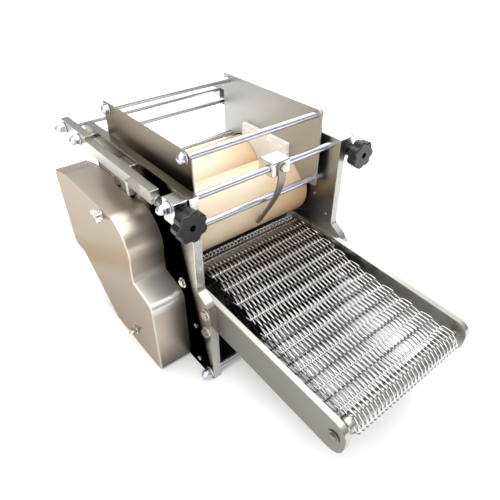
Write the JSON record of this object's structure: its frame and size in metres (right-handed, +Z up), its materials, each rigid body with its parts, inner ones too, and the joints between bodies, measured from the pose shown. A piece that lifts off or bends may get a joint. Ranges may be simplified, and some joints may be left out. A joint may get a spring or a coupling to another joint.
{
  "type": "roller tortilla press",
  "caption": "Table-top roller tortilla press: open hopper over nylon nip rollers in a steel plate frame, knob-set gap carriage, covered gear train and wire-mesh outfeed conveyor.",
  "frame": {"origin": "on the floor, in the middle between the side plates, under their upper front edges; it lies on the underside of the base plate", "axes": "+X along the rollers to the right, +Y to the back, +Z up; the outfeed conveyor points to -Y"},
  "size_m": [0.4692, 0.7582, 0.427],
  "materials": {
    "plate_steel": "satin stainless plate",
    "cover_steel": "brushed stainless sheet",
    "polished_steel": "polished stainless rod and nuts",
    "roller_nylon": "turned nylon",
    "white_nylon": "machined white nylon",
    "black_plastic": "moulded knob",
    "dark_steel": "dark grey bar",
    "bronze": "bearing bronze",
    "motor_enamel": "enamelled housing",
    "belt_wire": "stainless wire mesh"
  },
  "bodies": {
    "frame": {"side_plate_left": "plate_steel", "side_plate_right": "plate_steel", "base_plate": "plate_steel", "foot_rod": "polished_steel", "front_rod": "polished_steel", "front_block_left": "polished_steel", "front_block_right": "polished_steel", "rail_bolt_left": "polished_steel", "rail_bolt_right": "polished_steel", "bushing_left": "bronze", "bushing_right": "bronze", "hopper_plate_left": "plate_steel", "hopper_plate_right": "plate_steel", "hopper_rod_back_upper": "polished_steel", "hopper_rod_front_upper": "polished_steel", "hopper_rod_back_lower": "polished_steel", "hopper_rod_front_lower": "polished_steel", "hopper_seal_left": "white_nylon", "hopper_seal_right": "white_nylon", "main_gear_stud": "plate_steel", "gear_motor": "motor_enamel", "motor_bracket": "plate_steel", "gear_cover": "cover_steel", "wing_screw_upper": "polished_steel", "wing_screw_lower": "polished_steel", "rail_left": "plate_steel", "rail_right": "plate_steel", "mesh_belt": "belt_wire"},
    "carriage": {"outer_bar_left": "plate_steel", "outer_bar_right": "plate_steel", "hanger_left": "plate_steel", "hanger_right": "plate_steel", "back_rod": "polished_steel", "middle_rod": "polished_steel", "idler_stud": "plate_steel"},
    "knob_left": {"star_knob_left": "black_plastic", "gap_screw_left": "polished_steel"},
    "knob_right": {"star_knob_right": "black_plastic", "gap_screw_right": "polished_steel"},
    "scraper": {"clamp_block": "polished_steel", "scraper_arm": "dark_steel", "scraper_bolt": "polished_steel"},
    "front_roller_set": {"front_roller": "roller_nylon", "front_shaft": "plate_steel", "front_pinion": "plate_steel"},
    "back_roller_set": {"back_roller": "roller_nylon", "back_shaft": "plate_steel", "back_pinion": "plate_steel"},
    "main_gear_set": {"main_gear": "plate_steel"},
    "idler_set": {"idler_gear": "plate_steel"},
    "motor_output": {"motor_shaft": "plate_steel", "motor_pinion": "plate_steel", "conveyor_wheel": "plate_steel"},
    "conveyor_drive": {"drive_roller": "plate_steel", "conveyor_pinion": "plate_steel"},
    "conveyor_end": {"end_roller": "plate_steel"}
  },
  "joints": [
    {"name": "front_roller_spin", "type": "hinge", "parent": "frame", "child": "front_roller_set", "pos_m": [0, 0.1305, 0.244], "axis": [1, 0, 0], "continuous": true},
    {"name": "carriage_slide", "type": "slide", "parent": "frame", "child": "carriage", "axis": [0, 1, 0], "range_m": [-0.0009, 0.002]},
    {"name": "back_roller_spin", "type": "hinge", "parent": "carriage", "child": "back_roller_set", "pos_m": [0, 0.2575, 0.244], "axis": [1, 0, 0], "continuous": true},
    {"name": "main_gear_spin", "type": "hinge", "parent": "frame", "child": "main_gear_set", "pos_m": [-0.186, 0.19034, 0.21607], "axis": [1, 0, 0], "continuous": true},
    {"name": "idler_spin", "type": "hinge", "parent": "carriage", "child": "idler_set", "pos_m": [-0.186, 0.2595, 0.21607], "axis": [1, 0, 0], "continuous": true},
    {"name": "motor_output_spin", "type": "hinge", "parent": "frame", "child": "motor_output", "pos_m": [-0.186, 0.15685, 0.15119], "axis": [1, 0, 0], "continuous": true},
    {"name": "conveyor_drive_spin", "type": "hinge", "parent": "frame", "child": "conveyor_drive", "pos_m": [0, 0.095, 0.1555], "axis": [1, 0, 0], "continuous": true},
    {"name": "conveyor_end_spin", "type": "hinge", "parent": "frame", "child": "conveyor_end", "pos_m": [0, -0.303, 0.13555], "axis": [1, 0, 0], "continuous": true},
    {"name": "knob_left_turn", "type": "hinge", "parent": "frame", "child": "knob_left", "pos_m": [-0.187, 0, 0.352], "axis": [0, -1, 0], "range_deg": [-217, 481]},
    {"name": "knob_right_turn", "type": "hinge", "parent": "frame", "child": "knob_right", "pos_m": [0.187, 0, 0.352], "axis": [0, -1, 0], "range_deg": [-217, 481]},
    {"name": "scraper_swing", "type": "hinge", "parent": "frame", "child": "scraper", "pos_m": [0.02, 0.0216, 0.365], "axis": [-1, 0, 0], "range_deg": [0, 20]}
  ],
  "couplings": [
    {"joint": "back_roller_spin", "follows": "front_roller_spin", "ratio": -1},
    {"joint": "main_gear_spin", "follows": "front_roller_spin", "ratio": -0.24528},
    {"joint": "idler_spin", "follows": "front_roller_spin", "ratio": 0.86667},
    {"joint": "motor_output_spin", "follows": "front_roller_spin", "ratio": 0.65},
    {"joint": "conveyor_drive_spin", "follows": "front_roller_spin", "ratio": -2.7083},
    {"joint": "conveyor_end_spin", "follows": "front_roller_spin", "ratio": -2.7083},
    {"joint": "knob_left_turn", "follows": "carriage_slide", "rad_per_m": 4188.8},
    {"joint": "knob_right_turn", "follows": "carriage_slide", "rad_per_m": 4188.8}
  ]
}
